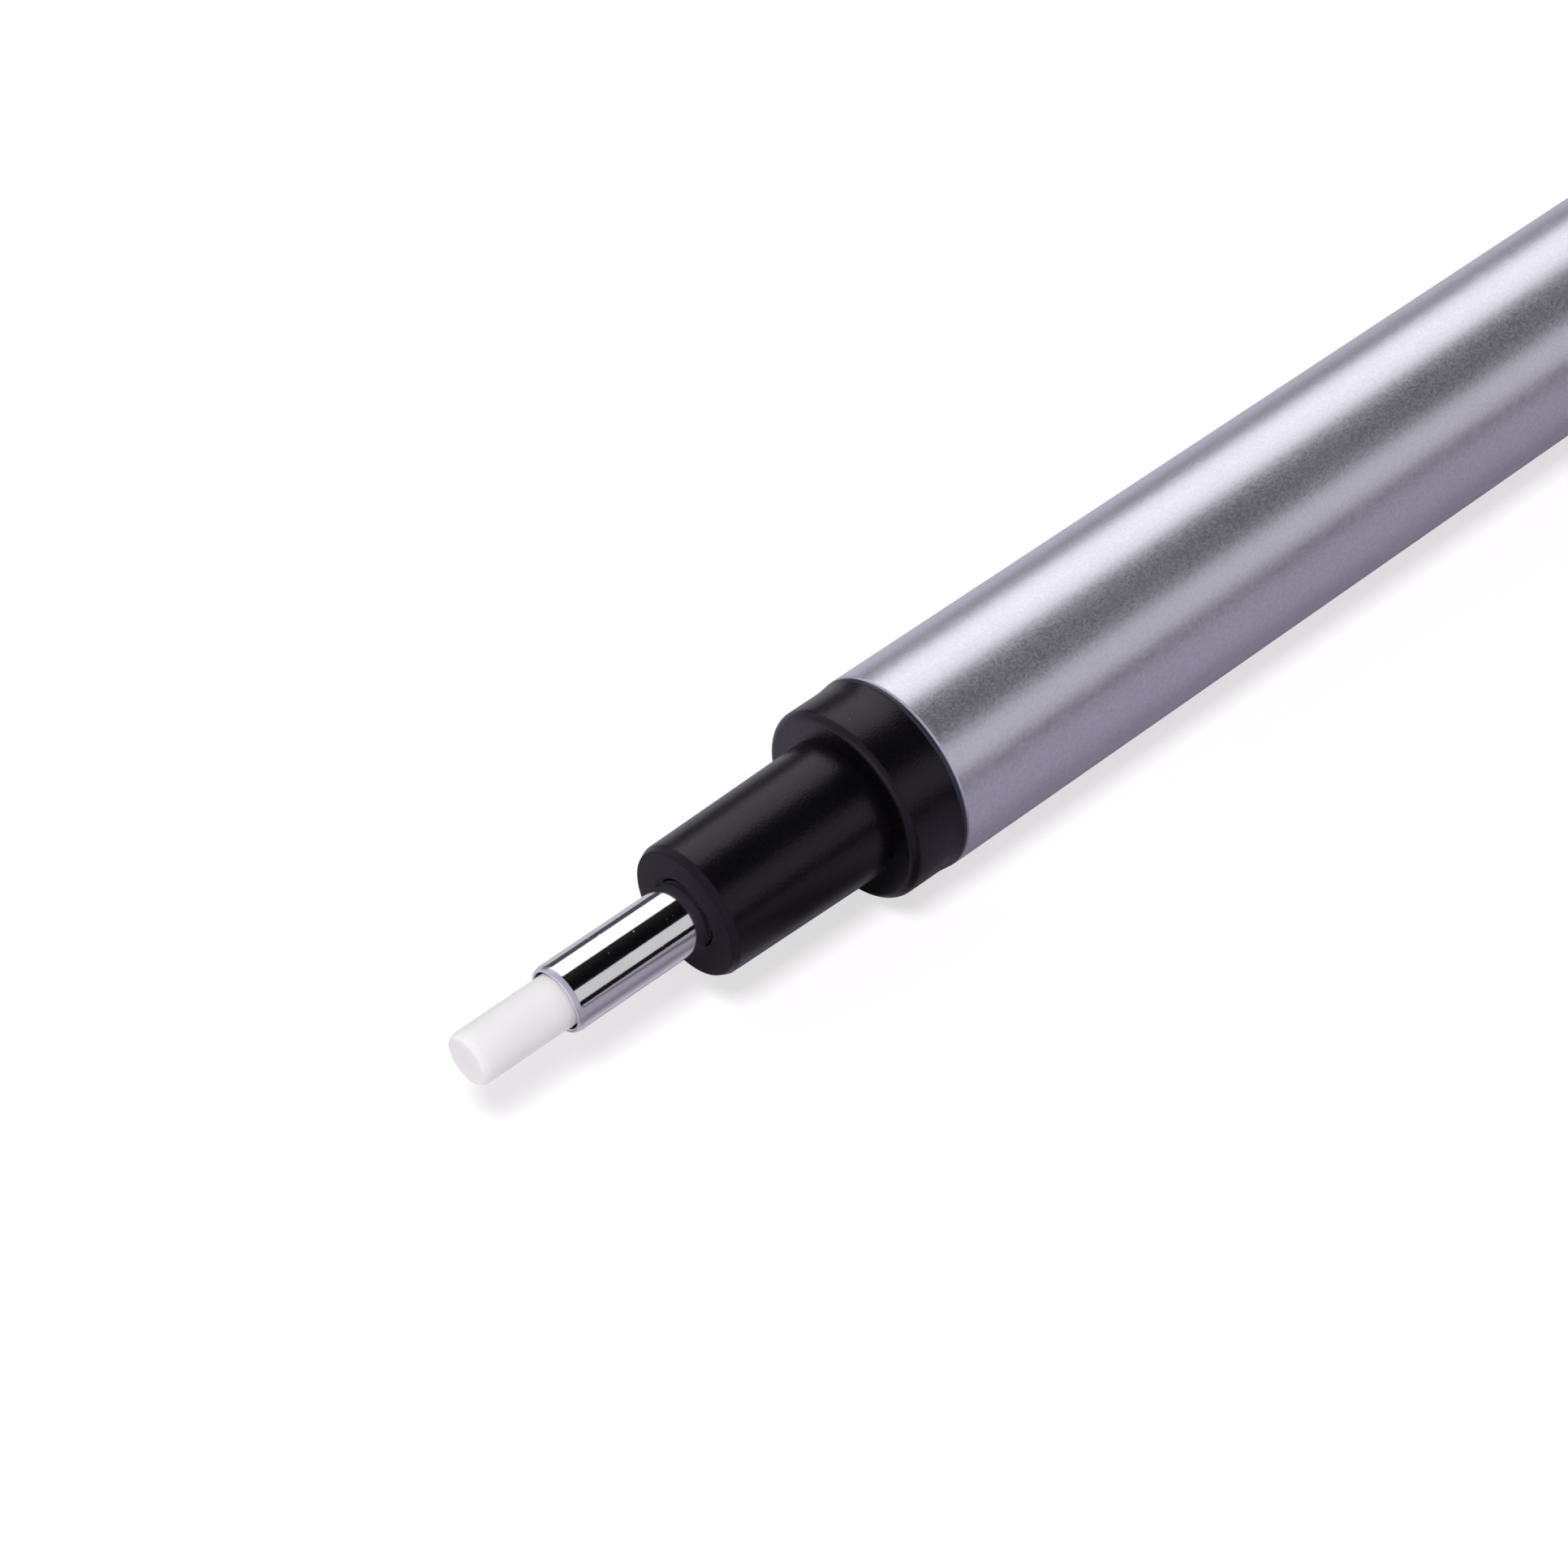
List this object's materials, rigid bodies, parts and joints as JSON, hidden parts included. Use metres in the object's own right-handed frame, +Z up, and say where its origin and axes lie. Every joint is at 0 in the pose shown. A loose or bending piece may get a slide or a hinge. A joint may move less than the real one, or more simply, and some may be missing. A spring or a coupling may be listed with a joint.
{
  "type": "retractable eraser",
  "caption": "Slim pen-type eraser: a thin white core in a chromed guide sleeve, black stepped nose, satin silver barrel with pocket clip, and a push button that feeds the core.",
  "frame": {"origin": "on the table, under the middle of the object's box; the pen lies on its barrel and its clip", "axes": "+X along the pen from the eraser's tip to the button, +Z up from the table; the clip is on the -Y side"},
  "size_m": [0.1246, 0.0106, 0.0087],
  "materials": {
    "eraser_vinyl": "soft matte white vinyl",
    "chrome_plate": "bright chrome plating",
    "black_moulding": "black moulding with a fine spark texture",
    "dark_insert": "blue-black moulding",
    "silver_lacquer": "satin silver lacquer with fine metallic flake",
    "soft_rubber": "soft rubber",
    "natural_plastic": "natural milky plastic",
    "brass": "turned brass",
    "grey_plastic": "moulded bearing plastic",
    "spring_steel": "drawn spring wire",
    "clip_steel": "polished and plated spring steel",
    "button_moulding": "black moulding, satin"
  },
  "bodies": {
    "barrel": {"barrel": "silver_lacquer", "nose_cone": "black_moulding", "front_insert": "dark_insert", "guide_sleeve": "chrome_plate", "friction_ring": "soft_rubber", "friction_retainer": "natural_plastic", "clutch_sleeve": "grey_plastic", "return_spring": "spring_steel", "tail_bush": "black_moulding", "tail_ring": "chrome_plate"},
    "mechanism": {"chuck": "brass", "chuck_joint": "grey_plastic", "core_tube": "natural_plastic", "spring_washer": "spring_steel"},
    "button": {"push_button": "button_moulding", "button_grip": "soft_rubber"},
    "clutch": {"clutch_ring": "brass"},
    "eraser": {"eraser_core": "eraser_vinyl"},
    "clip": {"pocket_clip": "clip_steel"}
  },
  "joints": [
    {"name": "button_press", "type": "slide", "parent": "barrel", "child": "mechanism", "axis": [-1, 0, 0], "range_m": [0, 0.003], "stiffness_N_per_m": 600, "springref_m": -0.0005, "deforming": ["return_spring"]},
    {"name": "clutch_slide", "type": "slide", "parent": "barrel", "child": "clutch", "axis": [-1, 0, 0], "range_m": [0, 0.001]},
    {"name": "eraser_feed", "type": "slide", "parent": "clutch", "child": "eraser", "axis": [-1, 0, 0], "range_m": [-0.0047, 0.01]},
    {"name": "button_pull", "type": "slide", "parent": "mechanism", "child": "button", "axis": [1, 0, 0], "range_m": [0, 0.0083]},
    {"name": "clip_flex", "type": "hinge", "parent": "barrel", "child": "clip", "pos_m": [0.0448, -0.00248, 0.00264], "axis": [0, -0.4474, 0.8944], "range_deg": [0, 4], "stiffness_Nm_per_rad": 0.6}
  ],
  "couplings": [
    {"joint": "clutch_slide", "follows": "button_press", "ratio": 0.3333}
  ]
}
